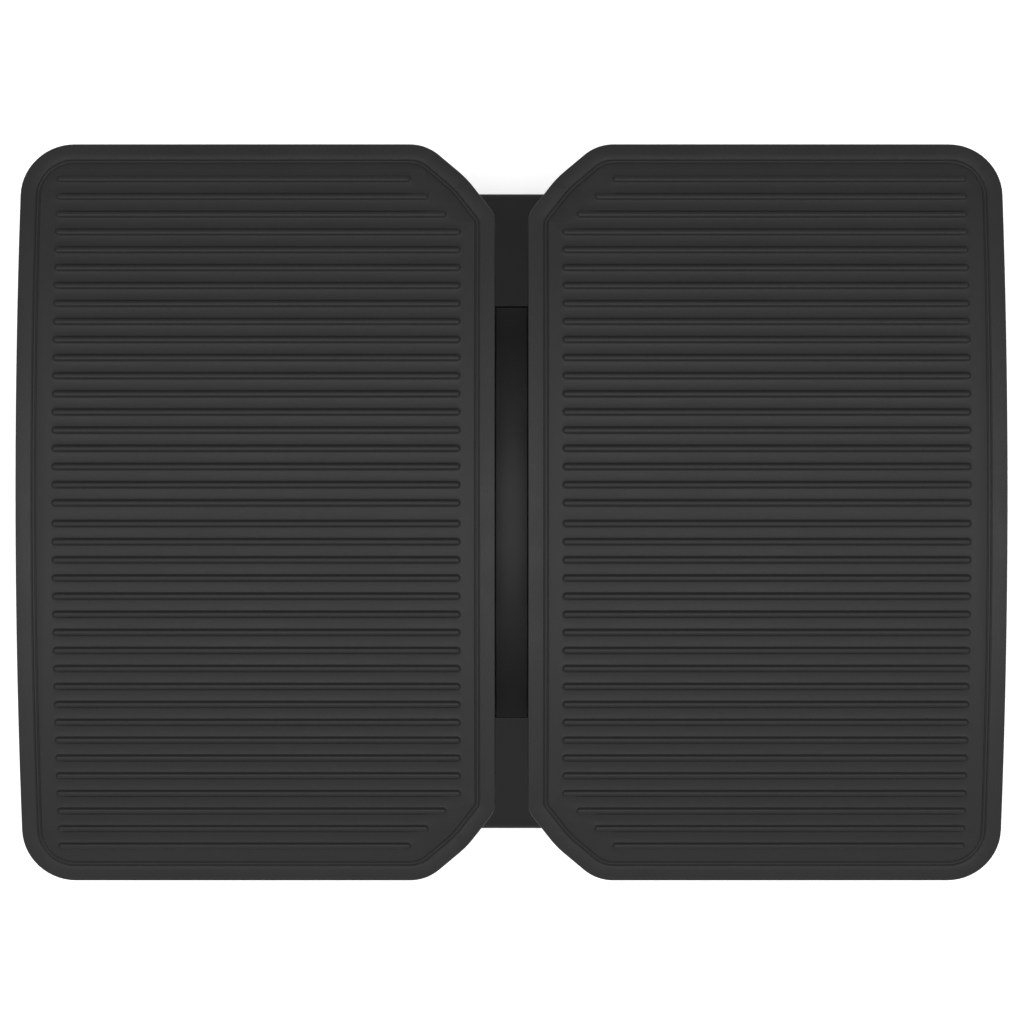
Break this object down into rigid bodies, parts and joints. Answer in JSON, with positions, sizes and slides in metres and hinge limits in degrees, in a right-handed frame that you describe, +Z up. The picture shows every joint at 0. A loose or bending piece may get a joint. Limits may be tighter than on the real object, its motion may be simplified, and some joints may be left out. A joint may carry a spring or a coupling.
{
  "type": "slant board",
  "caption": "Free-standing slant board: twin crowned, ribbed foot plates side by side, each tilting on a cross axle above a low base.",
  "frame": {"origin": "on the floor under the centre of the board, midway between the two foot plates", "axes": "+X to the board's right across both plates and along the axle, +Y from the heel end to the toe end, +Z up"},
  "size_m": [0.508, 0.383, 0.1094],
  "materials": {
    "shell_plastic": "fine-grained moulded charcoal plastic",
    "mat_rubber": "matt charcoal tread rubber",
    "base_plastic": "moulded charcoal plastic",
    "foot_rubber": "matt black rubber",
    "black_steel": "black powder coat on steel",
    "bright_steel": "bright zinc-plated steel",
    "bush_bronze": "plain sintered bronze",
    "knob_plastic": "black moulded knob"
  },
  "bodies": {
    "base": {"base_tray": "base_plastic", "front_rail": "base_plastic", "rear_rail": "base_plastic", "centre_fin": "base_plastic", "axle": "bright_steel", "left_tower": "base_plastic", "left_axle_cap": "black_steel", "left_plunger_housing": "bright_steel", "left_plunger_end_nut": "bright_steel", "foot_front_left": "foot_rubber", "front_left_stop_pad": "foot_rubber", "front_rail_left_screw": "bright_steel", "foot_rear_left": "foot_rubber", "rear_left_stop_pad": "foot_rubber", "rear_rail_left_screw": "bright_steel", "left_tower_screw_1": "bright_steel", "left_tower_screw_2": "bright_steel", "right_tower": "base_plastic", "right_axle_cap": "black_steel", "right_plunger_housing": "bright_steel", "right_plunger_end_nut": "bright_steel", "foot_front_right": "foot_rubber", "front_right_stop_pad": "foot_rubber", "front_rail_right_screw": "bright_steel", "foot_rear_right": "foot_rubber", "rear_right_stop_pad": "foot_rubber", "rear_rail_right_screw": "bright_steel", "right_tower_screw_1": "bright_steel", "right_tower_screw_2": "bright_steel", "fin_front_screw": "bright_steel", "fin_rear_screw": "bright_steel"},
    "left_plate": {"left_plate_shell": "shell_plastic", "left_mat": "mat_rubber", "left_inner_bracket": "black_steel", "left_index_bracket": "black_steel", "left_inner_bracket_screw_1": "bright_steel", "left_inner_bracket_screw_2": "bright_steel", "left_index_bracket_screw_1": "bright_steel", "left_index_bracket_screw_2": "bright_steel", "left_inner_bush": "bush_bronze", "left_outer_bush": "bush_bronze", "left_friction_washer": "foot_rubber"},
    "right_plate": {"right_plate_shell": "shell_plastic", "right_mat": "mat_rubber", "right_inner_bracket": "black_steel", "right_index_bracket": "black_steel", "right_inner_bracket_screw_1": "bright_steel", "right_inner_bracket_screw_2": "bright_steel", "right_index_bracket_screw_1": "bright_steel", "right_index_bracket_screw_2": "bright_steel", "right_inner_bush": "bush_bronze", "right_outer_bush": "bush_bronze", "right_friction_washer": "foot_rubber"},
    "left_plunger": {"left_plunger_pin": "bright_steel", "left_plunger_knob": "knob_plastic", "left_plunger_spring": "bright_steel"},
    "right_plunger": {"right_plunger_pin": "bright_steel", "right_plunger_knob": "knob_plastic", "right_plunger_spring": "bright_steel"}
  },
  "joints": [
    {"name": "left_tilt", "type": "hinge", "parent": "base", "child": "left_plate", "pos_m": [0, 0, 0.076], "axis": [1, 0, 0], "range_deg": [-20, 20]},
    {"name": "right_tilt", "type": "hinge", "parent": "base", "child": "right_plate", "pos_m": [0, 0, 0.076], "axis": [1, 0, 0], "range_deg": [-20, 20]},
    {"name": "left_plunger_slide", "type": "slide", "parent": "base", "child": "left_plunger", "axis": [-1, 0, 0], "range_m": [-0.009, 0], "deforming": ["left_plunger_spring"]},
    {"name": "right_plunger_slide", "type": "slide", "parent": "base", "child": "right_plunger", "axis": [1, 0, 0], "range_m": [-0.009, 0], "deforming": ["right_plunger_spring"]}
  ]
}
